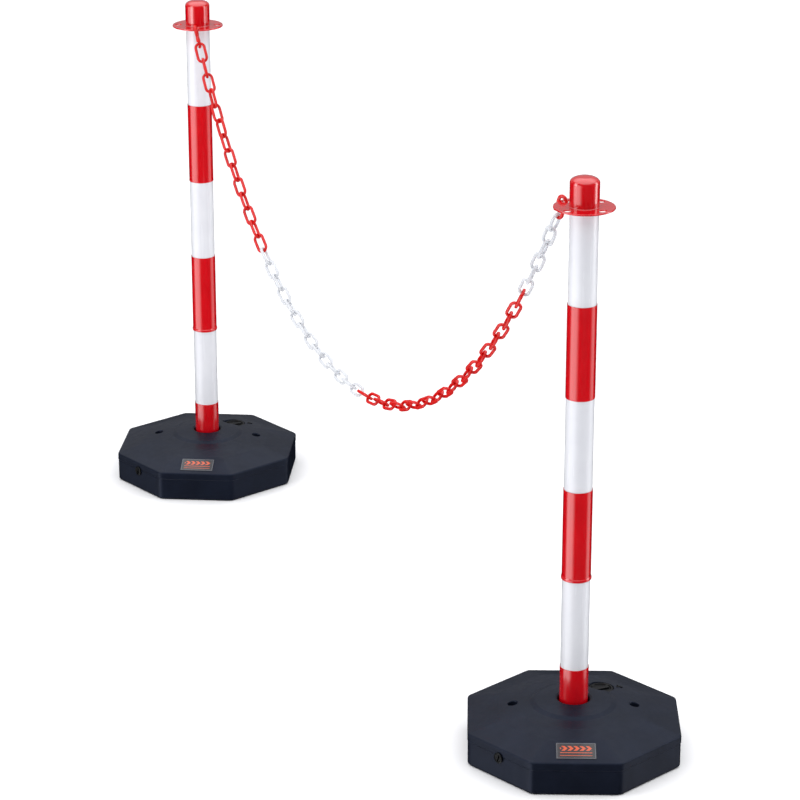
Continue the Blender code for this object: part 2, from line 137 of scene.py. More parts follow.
def rounded_profile(corners: Corners, steps: int = 5, closed: bool = False) -> Array:
    """Rounds the corners of a profile.

    Each corner is swapped for an arc that touches both of its sides: the arc's middle lies on the corner's
    bisector, and its radius vector turns evenly from one side to the other. One more point stands a little
    way along each side, so that the shading stays flat between the arcs.

    Args:
        corners: rows of radius, height and rounding.
        steps: number of chords in each arc.
        closed: whether the last corner joins the first. Otherwise both ends stay where they are.

    Returns:
        The profile's points, as rows of radius and height.
    """
    table = np.asarray(corners, dtype=float)
    place, rounding = table[:, :2], table[:, 2]
    back = np.roll(place, 1, axis=0) - place
    ahead = np.roll(place, -1, axis=0) - place
    back_length = np.linalg.norm(back, axis=1)
    ahead_length = np.linalg.norm(ahead, axis=1)
    back, ahead = unit(back), unit(ahead)
    half = 0.5 * np.arccos(np.clip((back * ahead).sum(axis=1), -1.0, 1.0))
    half = np.clip(half, 0.02, np.pi / 2 - 1e-4)
    reach = np.minimum(rounding / np.tan(half), 0.42 * np.minimum(back_length, ahead_length))
    reach = np.maximum(reach, 2e-5)
    radius = reach * np.tan(half)
    middle = place + unit(back + ahead) * (radius / np.sin(half))[:, None]
    first = (place + back * reach[:, None] - middle)[:, None, :]
    last = (place + ahead * reach[:, None] - middle)[:, None, :]
    turn = (np.pi - 2.0 * half)[:, None, None]
    t = np.linspace(0.0, 1.0, steps + 1)[None, :, None]
    arc = middle[:, None, :] + (np.sin((1.0 - t) * turn) * first + np.sin(t * turn) * last) / np.sin(turn)
    back_guard = place + back * (reach + 0.25 * np.minimum(back_length - reach, 0.003))[:, None]
    ahead_guard = place + ahead * (reach + 0.25 * np.minimum(ahead_length - reach, 0.003))[:, None]
    runs = np.concatenate([back_guard[:, None], arc, ahead_guard[:, None]], axis=1)
    if closed:
        return runs.reshape(-1, 2)
    return np.concatenate([place[:1], runs[1:-1].reshape(-1, 2), place[-1:]])


def revolved(profile: Array, sides: int = 96, closed: bool = False) -> Surface:
    """Turns a profile about Z: each point goes to (r cos a, r sin a, z) for every angle a.

    Args:
        profile: rows of radius and height.
        sides: number of angles in a full turn.
        closed: whether the profile is a ring of its own, as a pipe's wall is.

    Returns:
        The turned surface.
    """
    angle = np.arange(sides) * (2.0 * np.pi / sides)
    radius, height = profile[:, 0, None], profile[:, 1, None]
    points = np.stack(
        [radius * np.cos(angle), radius * np.sin(angle), height + 0.0 * angle], axis=-1
    ).reshape(-1, 3)
    return Surface(points, grid_quads(len(profile), sides, closed, True))


def swept_bar(
    path: Array, outward: Array, axis: Array, radius: Array, squareness: float, sides: int, closed: bool
) -> Surface:
    """Carries a rounded section along a flat path.

    A section's point is the path's point plus radius times (outward times c + axis times s), where c and s
    are the cosine and sine of the section's angle with their sizes raised to the power 2 / squareness: 2
    gives a circle and more a squarer bar.

    Args:
        path: points along the bar's middle.
        outward: the in-plane direction of each section.
        axis: the direction across the path's plane.
        radius: the section's half width at each point.
        squareness: the section's power.
        sides: points in a section.
        closed: whether the bar is a ring.

    Returns:
        The bar's surface.
    """
    angle = np.arange(sides) * (2.0 * np.pi / sides)
    power = 2.0 / squareness
    wide = np.sign(np.cos(angle)) * np.abs(np.cos(angle)) ** power
    high = np.sign(np.sin(angle)) * np.abs(np.sin(angle)) ** power
    spread = outward[:, None, :] * wide[None, :, None] + axis[None, None, :] * high[None, :, None]
    points = path[:, None, :] + spread * radius[:, None, None]
    return Surface(points.reshape(-1, 3), grid_quads(len(path), sides, closed, True))


def oval_path(half_straight: float, bend: float, along: Array) -> tuple[Array, Array]:
    """A flat oval in XY: two half circles joined by straight sides.

    The parameter runs from 0 to 1 round one end, to 2 along a side, to 3 round the other end and to 4 back
    along the other side. The point is the end's middle plus the outward direction times the bend.

    Args:
        half_straight: half of the straight sides' length.
        bend: radius of the half circles.
        along: the parameters of the points wanted, taken modulo 4.

    Returns:
        The points and their outward directions.
    """
    keys = (0.0, 1.0, 2.0, 3.0, 4.0)
    t = np.mod(along, 4.0)
    angle = np.radians(np.interp(t, keys, (-90.0, 90.0, 90.0, 270.0, 270.0)))
    middle = np.interp(t, keys, (half_straight, half_straight, -half_straight, -half_straight, half_straight))
    outward = np.stack([np.cos(angle), np.sin(angle), 0.0 * angle], axis=-1)
    return outward * bend + middle[:, None] * np.array([1.0, 0.0, 0.0]), outward


def placed(origin: Sequence[float], turn: float = 0.0) -> Array:
    """A matrix that turns about Z and then moves to a place.

    Args:
        origin: the place.
        turn: the turn in radians.

    Returns:
        A 4 by 4 matrix.
    """
    matrix = np.eye(4)
    matrix[:2, :2] = [[np.cos(turn), -np.sin(turn)], [np.sin(turn), np.cos(turn)]]
    matrix[:3, 3] = origin
    return matrix


def facing(origin: Array, x_axis: Array, y_axis: Array) -> Array:
    """A matrix whose X and Y axes point the given ways.

    Args:
        origin: where it moves the origin.
        x_axis: where it points X.
        y_axis: where it points Y.

    Returns:
        A 4 by 4 matrix.
    """
    matrix = np.eye(4)
    matrix[:3, 0], matrix[:3, 1], matrix[:3, 2] = x_axis, y_axis, np.cross(x_axis, y_axis)
    matrix[:3, 3] = origin
    return matrix


# ---------------------------------------------------------------- meshes


def solid(name: str, surface: Surface) -> Piece:
    """Makes a closed mesh object of a surface.

    Args:
        name: the object's name.
        surface: the points and faces.

    Returns:
        An object at the origin whose doubles are merged and whose faces point outwards.
    """
    mesh = bpy.data.meshes.new(name)
    mesh.from_pydata(surface.points.tolist(), [], surface.quads.tolist())
    shaper = bmesh.new()
    shaper.from_mesh(mesh)
    bmesh.ops.remove_doubles(shaper, verts=shaper.verts, dist=MERGE)
    bmesh.ops.dissolve_degenerate(shaper, edges=shaper.edges, dist=MERGE)
    bmesh.ops.recalc_face_normals(shaper, faces=shaper.faces)
    shaper.to_mesh(mesh)
    shaper.free()
    piece = bpy.data.objects.new(name, mesh)
    bpy.context.scene.collection.objects.link(piece)
    return piece


def combined(piece: Piece, others: Sequence[Piece], operation: str) -> Piece:
    """Cuts other solids from a piece, or joins them to it, and removes them.

    Args:
        piece: the solid that is kept.
        others: the solids that are used up.
        operation: DIFFERENCE or UNION.

    Returns:
        The piece with its new mesh.
    """
    for other in others:
        step = piece.modifiers.new(operation.lower(), "BOOLEAN")
        step.operation, step.object, step.solver = operation, other, "EXACT"
    seen = bpy.context.evaluated_depsgraph_get()
    mesh = bpy.data.meshes.new_from_object(piece.evaluated_get(seen))
    piece.modifiers.clear()
    piece.data = mesh
    mesh.name = piece.name
    for other in others:
        bpy.data.objects.remove(other, do_unlink=True)
    return piece


# ---------------------------------------------------------------- finishes


def linear(hex_colour: str) -> tuple[float, float, float, float]:
    """Turns an sRGB hex colour into linear light.

    Args:
        hex_colour: the colour, as in #RRGGBB.

    Returns:
        Red, green, blue and an alpha of one.
    """
    part = np.array([int(hex_colour[k : k + 2], 16) for k in (1, 3, 5)]) / 255.0
    light = np.where(part <= 0.04045, part / 12.92, ((part + 0.055) / 1.055) ** 2.4)
    return (float(light[0]), float(light[1]), float(light[2]), 1.0)


@dataclass(frozen=True)
class Nodes:
    """A node tree, with short ways to add the nodes used here."""

    tree: bpy.types.NodeTree

    def feed(self, node: bpy.types.Node, inputs: dict) -> None:
        """Feeds a node's input sockets.

        Args:
            node: the node.
            inputs: for each socket's name or number, a value, a hex colour or the output that feeds it.
        """
        for key, value in inputs.items():
            if isinstance(value, Socket):
                self.tree.links.new(value, node.inputs[key])
            else:
                node.inputs[key].default_value = linear(value) if isinstance(value, str) else value

    def add(self, kind: str, inputs: dict | None = None, **settings: str) -> bpy.types.Node:
        """Adds a node.

        Args:
            kind: the node's type, without its prefix.
            inputs: what feeds its sockets.
            **settings: the node's own properties.

        Returns:
            The new node.
        """
        made = self.tree.nodes.new("ShaderNode" + kind)
        for key, value in settings.items():
            setattr(made, key, value)
        self.feed(made, inputs or {})
        return made


def blank_material(name: str) -> tuple[bpy.types.Material, Nodes, bpy.types.Node]:
    """Makes a material.

    Args:
        name: the material's name.

    Returns:
        The material, its nodes and its shader.
    """
    material = bpy.data.materials.new(name)
    material.use_nodes = True
    return material, Nodes(material.node_tree), material.node_tree.nodes["Principled BSDF"]


@dataclass(frozen=True)
class MouldedPlastic:
    """A moulded or extruded plastic skin.

    Its colour drifts a little between two shades, its roughness is uneven, and a fine grain with, on
    extruded pipe, long draw lines lifts the surface.
    """

    name: str
    colour: str
    deep_colour: str
    roughness: float
    uneven: float = 0.06
    least_roughness: float = 0.02
    cloud_mm: float = 45.0
    patch_mm: float = 8.0
    patch_squeeze: float = 0.08
    grain_mm: float = 0.9
    grain_depth_mm: float = 0.01
    grain_strength: float = 0.6
    draw_lines: float = 0.0
    line_mm: float = 1.6
    line_squeeze: float = 0.004
    line_depth_mm: float = 0.02
    coat: float = 0.0
    coat_roughness: float = 0.08
    coat_ior: float = 1.5
    shine: float = 0.5
    shine_tint: str = "#FFFFFF"
    glow_through: float = 0.0
    glow_radius_mm: float = 1.0
    ior: float = 1.49

    def build(self) -> bpy.types.Material:
        """Makes the material.

        Returns:
            The material.
        """
        material, nodes, shader = blank_material(self.name)
        coords = nodes.add("TexCoord").outputs["Object"]
        soft = {"Vector": coords, "Scale": 1000.0 / self.cloud_mm, "Detail": 3.0, "Roughness": 0.55}
        cloud = nodes.add("TexNoise", soft).outputs["Fac"]
        share = nodes.add("MapRange", {"Value": cloud, "From Min": 0.3, "From Max": 0.7}).outputs[0]
        shades = {0: share, 6: self.deep_colour, 7: self.colour}
        shade = nodes.add("Mix", shades, data_type="RGBA").outputs[2]
        long = nodes.add("Mapping", {"Vector": coords, "Scale": (1.0, 1.0, self.patch_squeeze)}).outputs[0]
        patch = nodes.add("TexNoise", {"Vector": long, "Scale": 1000.0 / self.patch_mm}).outputs["Fac"]
        low, high = max(self.roughness - self.uneven, self.least_roughness), self.roughness + self.uneven
        ends = {"From Min": 0.25, "From Max": 0.75, "To Min": low, "To Max": high}
        rough = nodes.add("MapRange", {"Value": patch, **ends}).outputs[0]
        fine = {"Vector": coords, "Scale": 1000.0 / self.grain_mm, "Detail": 1.0}
        grain = nodes.add("TexNoise", fine).outputs["Fac"]
        lift = {"Strength": self.grain_strength, "Distance": self.grain_depth_mm / 1000.0, "Height": grain}
        normal = nodes.add("Bump", lift).outputs[0]
        if self.draw_lines > 0.0:
            stretch = {"Vector": coords, "Scale": (1.0, 1.0, self.line_squeeze)}
            drawn = nodes.add("Mapping", stretch).outputs[0]
            lines = nodes.add("TexNoise", {"Vector": drawn, "Scale": 1000.0 / self.line_mm}).outputs["Fac"]
            lift = {"Strength": self.draw_lines, "Distance": self.line_depth_mm / 1000.0, "Height": lines}
            normal = nodes.add("Bump", {**lift, "Normal": normal}).outputs[0]
        inputs = {
            "Base Color": shade,
            "Roughness": rough,
            "Normal": normal,
            "IOR": self.ior,
            "Metallic": 0.0,
            "Coat Weight": self.coat,
            "Coat Roughness": self.coat_roughness,
            "Coat IOR": self.coat_ior,
            "Specular IOR Level": self.shine,
            "Specular Tint": self.shine_tint,
            "Subsurface Weight": self.glow_through,
            "Subsurface Scale": self.glow_radius_mm / 1000.0,
            "Subsurface Radius": (1.0, 1.0, 1.0),
        }
        nodes.feed(shader, inputs)
        return material


@dataclass(frozen=True)
class PrintedFilm:
    """A dark polyester label film with a printed border, a row of chevrons and two thin rules.

    The pattern reads the piece's own UV map, which is in metres from the label's middle. Each stripe is its
    middle and half its height.
    """

    name: str
    ground: str
    ink: str
    border: str
    half_width: float
    half_height: float
    roughness: float = 0.32
    ink_roughness: float = 0.12
    ink_cover: float = 0.42
    printed_width: float = 0.80
    chevron_row: tuple[float, float] = (0.0045, 0.0044)
    chevron_lean: float = 0.9
    chevron_pitch: float = 0.0082
    chevron_share: float = 0.56
    rules: tuple[tuple[float, float], tuple[float, float]] = ((-0.0036, 0.0006), (-0.0088, 0.00045))
    border_inset: float = 0.0012
    border_half: float = 0.00028
    wear_mm: float = 1000.0 / 900.0
    coat: float = 0.3

    def build(self) -> bpy.types.Material:
        """Makes the material.

        Returns:
            The material.
        """
        material, nodes, shader = blank_material(self.name)
        film = nodes.add("UVMap").outputs[0]
        x, y = nodes.add("SeparateXYZ", {0: film}).outputs[:2]
        wear = nodes.add("TexNoise", {"Vector": film, "Scale": 1000.0 / self.wear_mm}).outputs["Fac"]
        (high, high_half), (low, low_half) = self.rules
        row, row_half = self.chevron_row
        # Each row is a result, a sum and what goes into it.
        sums = (
            ("wide", "ABSOLUTE", "x"),
            ("tall", "ABSOLUTE", "y"),
            ("across", "LESS_THAN", "wide", self.half_width * self.printed_width),
            ("off_row", "SUBTRACT", "y", row),
            ("off_row", "ABSOLUTE", "off_row"),
            ("lean", "MULTIPLY", "off_row", self.chevron_lean),
            ("slanted", "ADD", "x", "lean"),
            ("slanted", "ADD", "slanted", 1.0),
            ("phase", "DIVIDE", "slanted", self.chevron_pitch),
            ("phase", "FRACT", "phase"),
            ("filled", "LESS_THAN", "phase", self.chevron_share),
            ("in_row", "LESS_THAN", "off_row", row_half),
            ("chevrons", "MULTIPLY", "filled", "in_row"),
            ("off_high", "SUBTRACT", "y", high),
            ("off_high", "ABSOLUTE", "off_high"),
            ("high_rule", "LESS_THAN", "off_high", high_half),
            ("off_low", "SUBTRACT", "y", low),
            ("off_low", "ABSOLUTE", "off_low"),
            ("low_rule", "LESS_THAN", "off_low", low_half),
            ("rules", "MAXIMUM", "high_rule", "low_rule"),
            ("pattern", "MAXIMUM", "chevrons", "rules"),
            ("printed", "MULTIPLY", "pattern", "across"),
            ("off_x", "SUBTRACT", "wide", self.half_width - self.border_inset),
            ("off_y", "SUBTRACT", "tall", self.half_height - self.border_inset),
            ("off_rim", "MAXIMUM", "off_x", "off_y"),
            ("off_rim", "ABSOLUTE", "off_rim"),
            ("rim", "LESS_THAN", "off_rim", self.border_half),
            ("cover", "ADD", "wear", self.ink_cover),
            ("inked", "MULTIPLY", "printed", "cover"),
            ("rougher", "MULTIPLY", "printed", self.ink_roughness),
            ("rough", "ADD", "rougher", self.roughness),
        )
        found: dict = {"x": x, "y": y, "wear": wear}
        for result, operation, *operands in sums:
            inputs = {slot: found.get(operand, operand) for slot, operand in enumerate(operands)}
            found[result] = nodes.add("Math", inputs, operation=operation).outputs[0]
        film_colours = {0: found["inked"], 6: self.ground, 7: self.ink}
        inked = nodes.add("Mix", film_colours, data_type="RGBA").outputs[2]
        edged = nodes.add("Mix", {0: found["rim"], 6: inked, 7: self.border}, data_type="RGBA").outputs[2]
        nodes.feed(shader, {"Base Color": edged, "Roughness": found["rough"], "Coat Weight": self.coat})
        return material


@dataclass
class Finishes:
    """Every material of the stanchion, made once."""

    made: dict[Slot, bpy.types.Material] = field(default_factory=dict)

    def prepare(self, label_half: tuple[float, float]) -> None:
        """Makes the materials.

        Args:
            label_half: half of the label's width and height.
        """
        pipe = {"draw_lines": 0.25, "grain_depth_mm": 0.004}
        tank = {"uneven": 0.05, "grain_mm": 0.7, "grain_depth_mm": 0.03}
        chain = {"cloud_mm": 20.0, "grain_depth_mm": 0.012}
        red_gloss = {"coat": 1.0, "coat_roughness": 0.11, "coat_ior": 1.75, "shine": 0.25}
        tank_shine = {"ior": 1.27, "shine_tint": "#C3D0F2"}
        waxy = {"glow_through": 0.6, "glow_radius_mm": 3.0}
        plastic = MouldedPlastic
        finishes = {
            # Rigid vinyl band, extruded and polished by the die: a deep red under a hard clear gloss.
            Slot.RED: plastic("extruded_vinyl_red", "#D70011", "#CD000F", 0.19, **pipe, **red_gloss),
            # Rigid vinyl pipe: a cool white, glossy, with faint draw lines along its length.
            Slot.WHITE: plastic("extruded_vinyl_white", "#E6E7EC", "#E0E1E7", 0.24, coat=0.4, **pipe),
            # Blow-moulded polyethylene tank: blue black, satin, with the mould's fine sand-blasted grain.
            Slot.TANK: plastic(
                "blow_moulded_polyethylene_black", "#161B28", "#121621", 0.37, **tank, **tank_shine
            ),
            # Injection-moulded polyethylene caps: a deeper black with a finer grain. Part of that depth is
            # painted shade, darkened so that the fill cap reads as dark as its shaded recess.
            Slot.PLUG: plastic(
                "moulded_polyethylene_black_with_painted_recess_shade", "#07080B", "#050609", 0.36, ior=1.27, grain_depth_mm=0.015
            ),
            # Nitrile rubber ring: matt black.
            Slot.SEAL: plastic("nitrile_rubber_black", "#141414", "#0F0F0F", 0.7, grain_depth_mm=0.03),
            # Moulded polyethylene chain: a warm waxy red that lets a little light through.
            Slot.RED_CHAIN: plastic(
                "moulded_polyethylene_red", "#D8130F", "#CD0D09", 0.3, glow_through=0.06, **chain
            ),
            # The same chain in natural white, waxier and more see-through.
            Slot.WHITE_CHAIN: plastic(
                "moulded_polyethylene_white", "#D8DADE", "#D3D5D9", 0.32, **chain, **waxy
            ),
            # Printed polyester label: near black with an orange pattern.
            Slot.LABEL: PrintedFilm("printed_polyester_film", "#15161B", "#D2542B", "#5A5F6B", *label_half),
        }
        self.made = {slot: finish.build() for slot, finish in finishes.items()}

    def dress(
        self,
        piece: Piece,
        slot: Slot,
        body: str,
        *nodes: str,
        crease: float = 32.0,
    ) -> Piece:
        """Gives a piece its finish and ties it to its CAD body.

        Args:
            piece: the new piece.
            slot: the finish.
            body: the CAD body that it rides on.
            nodes: the CAD nodes that it stands for.
            crease: the angle in degrees above which an edge stays sharp.

        Returns:
            The same piece.
        """
        piece.data.materials.clear()
        piece.data.materials.append(self.made[slot])
        piece.data.shade_smooth()
        piece.data.set_sharp_from_angle(angle=np.radians(crease))
        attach(piece, body)
        if nodes:
            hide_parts(*nodes)
        LOG.info("%s rides on %s with %d faces", piece.name, body, len(piece.data.polygons))
        return piece


# ---------------------------------------------------------------- base


@dataclass
class BallastTank:
    """The octagonal blow-moulded tank with its socket, anchor holes, fill cup, caps and label."""

    flat: float = 0.1460
    lower_flat: float = 0.1454
    seam_height: float = 0.0370
    edge_height: float = 0.0478
    socket: float = 0.0222
    socket_floor: float = 0.0080
    wall: float = 0.0035
    socket_wall: float = 0.0030
    round_from: float = 0.1300
    round_to: float = 0.0800
    corner_power: float = 116.0
    anchor_out: float = 0.0840
    anchor_radius: float = 0.0065
    anchor_height: float = 0.0660
    anchor_wall: float = 0.0030
    slope: float = 0.17
    beyond: float = 0.01
    above: float = 0.09
    fill_at: tuple[float, float] = (0.0400, 0.0500)
    recess: float = 0.0180
    recess_floor: float = 0.0605
    mouth: float = 0.0135
    cap_top: float = 0.0668
    flutes: float = 24.0
    flute_depth: float = 0.018
    grip_turn: float = 25.0
    seal_thick: float = 0.0012
    gap: float = 0.0003
    drain_height: float = 0.0340
    drain_radius: float = 0.0050
    drain_turn: float = -135.0
    mark_at: tuple[float, float, float] = (0.0655, 0.0565, 0.0657)
    mark_arms: tuple[float, float, float] = (10.0, 150.0, 265.0)
    mark_bar: float = 0.00095
    mark_slope: float = 0.19
    label_size: tuple[float, float, float] = (0.0540, 0.0300, 0.0008)

    def outline(self, profile: Array, columns: int) -> Array:
        """Points of a loft round the tank.

        The octagon's distance at an angle is d over the p-norm of the cosines towards its eight sides, which
        rounds its corners. It is blended with a circle of radius d as d falls from round_from to round_to.
        The angles crowd towards the corners as a quarter t plus three quarters t cubed.

        Args:
            profile: rows of distance and height.
            columns: points in each of the eight sectors.

        Returns:
            Points by profile row and angle.
        """
        t = (np.arange(columns) + 0.5) / columns * 2.0 - 1.0
        offset = (np.pi / 8.0) * (0.25 * t + 0.75 * t**3)
        angle = (np.arange(8)[:, None] * (np.pi / 4.0) + np.pi / 8.0 + offset[None, :]).ravel()
        sides = np.cos(angle[:, None] - np.arange(8)[None, :] * (np.pi / 4.0))
        norm = (np.maximum(sides, 0.0) ** self.corner_power).sum(axis=1) ** (1.0 / self.corner_power)
        distance = profile[:, 0, None]
        roundness = smooth_step((self.round_from - distance) / (self.round_from - self.round_to))
        reach = distance * ((1.0 - roundness) / norm[None, :] + roundness)
        height = profile[:, 1, None] + 0.0 * reach
        return np.stack([reach * np.cos(angle), reach * np.sin(angle), height], axis=-1)

    def loft(self, name: str, corners: Corners, columns: int, steps: int) -> Piece:
        """A closed solid round the tank's axis from a profile that starts and ends on it.

        Args:
            name: the solid's name.
            corners: rows of distance, height and rounding.
            columns: points in each of the eight sectors.
            steps: number of chords in each rounding.

        Returns:
            The solid.
        """
        profile = rounded_profile(corners, steps)
        points = self.outline(profile, columns).reshape(-1, 3)
        return solid(name, Surface(points, grid_quads(len(profile), 8 * columns, False, True)))

    def rod(self, name: str, corners: Corners, at: Array, sides: int = 48) -> Piece:
        """A turned solid from sharp corners, carried to a place."""
        return solid(name, revolved(np.asarray(corners, dtype=float), sides).moved(at))

    def plain_rod(
        self, name: str, radius: float, low: float, high: float, at: Array, sides: int = 48
    ) -> Piece:
        """A plain round bar."""
        return self.rod(name, ((0.0, low), (radius, low), (radius, high), (0.0, high)), at, sides)

    def anchor_cutter(self, sign: int) -> Piece:
        """An anchor hole with flared mouths; its upper mouth leans with the tank's slope.

        Args:
            sign: minus one or one, for the side of the tank.

        Returns:
            The solid that cuts the hole.
        """
        r, top, low = self.anchor_radius, self.anchor_height, -self.beyond
        corners = (
            (0.0, low), (r + 0.0012, low), (r + 0.0012, -0.0001), (r, 0.0015), (r, top - 0.0024),
            (r + 0.0002, top - 0.0014), (r + 0.0007, top - 0.0006), (r + 0.0016, top),
            (r + 0.0016, top + 0.02), (0.0, top + 0.02),
        )  # fmt: skip
        surface = revolved(np.asarray(corners), 64)
        upper = surface.points[:, 2] > top / 2
        surface.points[:, 2] -= np.where(upper, self.slope * sign * surface.points[:, 0], 0.0)
        return solid("anchor_cutter", surface.moved(placed((sign * self.anchor_out, 0.0, 0.0))))

    def cavity(self) -> Piece:
        """The tank's inner space, with its sleeves and fill cup left standing."""
        w = self.wall
        corners = (
            (0.0, w, 0.0), (self.flat - w, w, 0.004), (self.flat - w, 0.0425, 0.003), (0.1005, 0.0577, 0.01),
            (0.0805, 0.0625, 0.01), (0.0565, 0.0655, 0.004), (0.0485, 0.0690, 0.004), (0.0210, 0.0727, 0.002),
            (0.0, 0.0727, 0.0),
        )  # fmt: skip
        space = self.loft("cavity", corners, 8, 2)
        low, high = -self.beyond, self.above
        kept = [self.plain_rod("kept_socket", self.socket + self.socket_wall, low, high, np.eye(4))]
        for sign in (-1, 1):
            at = placed((sign * self.anchor_out, 0.0, 0.0))
            kept.append(self.plain_rod("kept_anchor", self.anchor_radius + self.anchor_wall, low, high, at))
        wall = self.socket_wall
        cup = placed((*self.fill_at, 0.0))
        kept.append(self.plain_rod("kept_cup", self.recess + wall, self.recess_floor - wall, high, cup))
        return combined(space, kept, "DIFFERENCE")

    def shell(self, name: str) -> Piece:
        """The moulded tank: rounded walls with a mould seam, sloping panels, a raised collar and a socket."""
        corners = (
            (0.0, 0.0, 0.0), (0.1425, 0.0, 0.002), (self.lower_flat, 0.0030, 0.003),
            (self.lower_flat, self.seam_height - 0.0005, 0.0004),
            (self.flat, self.seam_height + 0.0004, 0.0004), (self.flat, self.edge_height, 0.0030),
            (0.1040, 0.0614, 0.0400), (0.0800, 0.0668, 0.0400),
            (0.0600, 0.0690, 0.0050), (0.0530, 0.0722, 0.0060), (0.0380, 0.0748, 0.0300),
            (0.0252, 0.0762, 0.0016), (self.socket, 0.0744, 0.0016), (self.socket, self.socket_floor, 0.0010),
            (0.0, self.socket_floor, 0.0),
        )  # fmt: skip
        tank = self.loft(name, corners, 26, 6)
        at = placed((*self.fill_at, 0.0))
        r, floor = self.recess, self.recess_floor
        recess = (
            (0.0, floor), (r, floor), (r, 0.0664), (r + 0.0006, 0.0676), (r + 0.0018, 0.0690),
            (r + 0.0030, 0.0740), (0.0, 0.0740),
        )  # fmt: skip
        mouth = (self.mouth, floor - self.beyond, 0.07)
        drain = (self.drain_radius, -0.009, self.beyond)
        cuts = [
            self.cavity(),
            self.anchor_cutter(-1),
            self.anchor_cutter(1),
            self.rod("recess_cutter", recess, at, 72),
            self.plain_rod("mouth_cutter", *mouth, at, 64),
            self.plain_rod("drain_cutter", *drain, self.drain_frame(), 40),
        ]
        return combined(tank, cuts, "DIFFERENCE")

    def drain_frame(self) -> Array:
        """The drain's frame: Z points out of the wall."""
        turn = np.radians(self.drain_turn)
        way = np.array([np.cos(turn), np.sin(turn), 0.0])
        return facing(way * self.flat + UP * self.drain_height, np.cross(UP, way), UP)

    def screw_cap(self, name: str) -> Piece:
        """The fill cap: a fluted disc with a sunk face, a grip bar and a hollow spigot."""
        disc, spigot = self.recess - 2 * self.gap, self.mouth - 2 * self.gap
        under = self.recess_floor + self.seal_thick + 2 * self.gap
        roof, bore = under + 0.0008, spigot - 0.002
        foot, top = self.recess_floor - 0.009, self.cap_top
        corners = (
            (0.0, roof, 0.0), (bore, roof, 0.0003), (bore, foot, 0.0003), (spigot, foot, 0.0003),
            (spigot, under, 0.0003), (disc, under, 0.0003), (disc, top - 0.0004, 0.0008),
            (disc - 0.0028, top, 0.0006), (disc - 0.0040, top - 0.0022, 0.0006), (0.0, top - 0.0022, 0.0),
        )  # fmt: skip
        surface = revolved(rounded_profile(corners, 4), 144)
        reach = np.hypot(surface.points[:, 0], surface.points[:, 1])
        angle = np.arctan2(surface.points[:, 1], surface.points[:, 0])
        rim = smooth_step((reach - (disc - 0.002)) / 0.0015) * (surface.points[:, 2] > under - 0.0001)
        flute = self.flute_depth * rim * (0.5 - 0.5 * np.cos(self.flutes * angle))
        surface.points[:, :2] *= (1.0 - flute)[:, None]
        cap = solid(name, surface)
        grip = self.slab(0.0250, 0.0050, 0.0036, 0.0014, 0.0006).moved(placed((0, 0, top - 0.0018)))
        combined(cap, [solid("grip_bar", grip)], "UNION")
        cap.data.transform(matrix_of(placed((*self.fill_at, 0.0), np.radians(self.grip_turn))))
        return cap

    def slab(self, width: float, depth: float, height: float, corner: float, edge: float) -> Surface:
        """A rounded rectangular plate about the origin.

        Its outline is the rectangle's support point in each direction plus a round corner, and the plate's
        edge is a rounded profile of inset and height.

        Args:
            width: size along X.
            depth: size along Y.
            height: size along Z.
            corner: radius of the outline's corners.
            edge: rounding of the top and bottom edges.

        Returns:
            The plate's surface.
        """
        half, far = height / 2, -0.01
        rows = ((far, -half, 0.0), (0.0, -half, edge), (0.0, half, edge), (far, half, 0.0))
        inset = rounded_profile(rows, 4)
        angle = (np.arange(64) + 0.5) * (2.0 * np.pi / 64)
        way = np.stack([np.cos(angle), np.sin(angle)], -1)
        ring = np.sign(way) * (np.array([width, depth]) / 2 - corner) + corner * way
        limit = min(width, depth) / 2
        shrink = 1.0 + np.where(inset[:, 0] <= 0.99 * far, -1.0, inset[:, 0] / limit)
        flat = ring[None, :, :] * shrink[:, None, None]
        heights = np.broadcast_to(inset[:, 1, None, None], flat[..., :1].shape)
        points = np.concatenate([flat, heights], axis=-1)
        return Surface(points.reshape(-1, 3), grid_quads(len(inset), 64, False, True))

    def seal(self, name: str) -> Piece:
        """The flat rubber ring under the fill cap."""
        low = self.recess_floor + self.gap
        high = low + self.seal_thick
        inner, outer = self.mouth + 0.0002, self.recess - 0.0012
        corners = ((inner, low, 0.0004), (outer, low, 0.0004), (outer, high, 0.0004), (inner, high, 0.0004))
        surface = revolved(rounded_profile(corners, 4, True), 72, True)
        return solid(name, surface.moved(placed((*self.fill_at, 0.0))))

    def drain_bung(self, name: str) -> Piece:
        """The push-in drain plug: a shank, a stepped head and a pull rib across it."""
        shank, face = self.drain_radius - self.gap, 0.0022
        corners = (
            (0.0, -0.0080, 0.0), (shank, -0.0080, 0.0010), (shank, self.gap, 0.0002),
            (0.0075, self.gap, 0.0003), (0.0075, face, 0.0006), (0.0056, 0.0028, 0.0005),
            (0.0048, face, 0.0003), (0.0, face, 0.0),
        )  # fmt: skip
        bung = solid(name, revolved(rounded_profile(corners, 4), 64))
        rib_at = placed((0.0, 0.0, 0.0029), np.radians(70.0))
        rib = self.slab(0.0104, 0.0024, 0.0030, 0.0008, 0.0005).moved(rib_at)
        combined(bung, [solid("pull_rib", rib)], "UNION")
        bung.data.transform(matrix_of(self.drain_frame()))
        return bung

